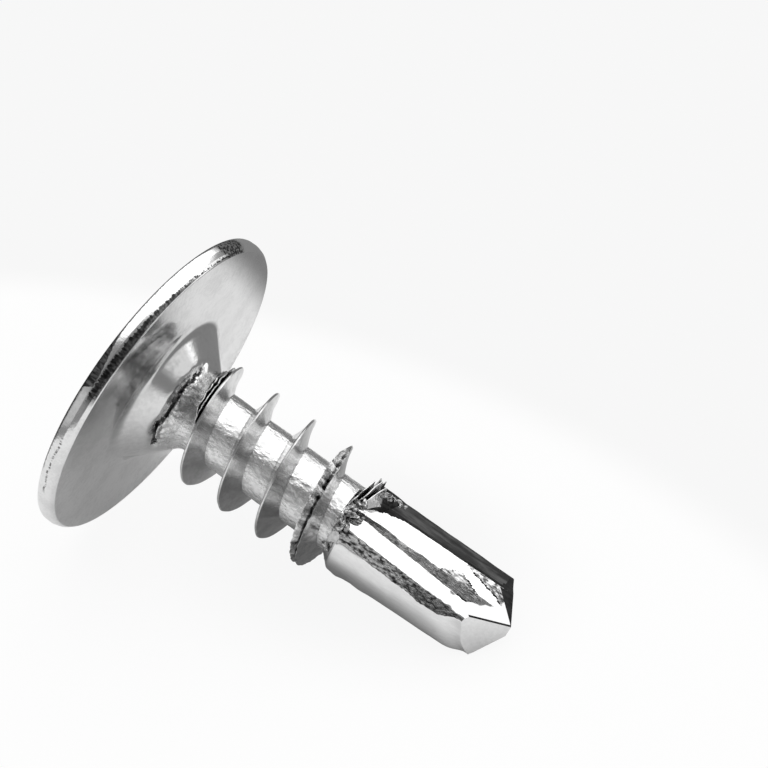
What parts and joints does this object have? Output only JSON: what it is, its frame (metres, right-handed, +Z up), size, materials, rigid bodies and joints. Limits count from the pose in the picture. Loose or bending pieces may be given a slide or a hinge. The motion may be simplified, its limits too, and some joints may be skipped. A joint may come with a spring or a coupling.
{
  "type": "self drilling screw",
  "caption": "Washer head self-drilling screw with a cross recess, a coarse right-hand thread and a forged drill point, lying as it rests on its head's rim and its point.",
  "frame": {"origin": "bottom centre of the bounding box, on the surface that the screw lies on", "axes": "+Z up from that surface; the screw's axis lies in the XZ plane, sloping down towards the drill point at +X, with the head at -X"},
  "size_m": [0.0156, 0.0114, 0.0107],
  "materials": {
    "zinc_plated_steel": "bright zinc plating over cold-headed steel, glossy, with rolling marks on the neck and thread and torn metal where the thread runs into the drill"
  },
  "bodies": {
    "root": {"screw": "zinc_plated_steel"}
  },
  "joints": []
}
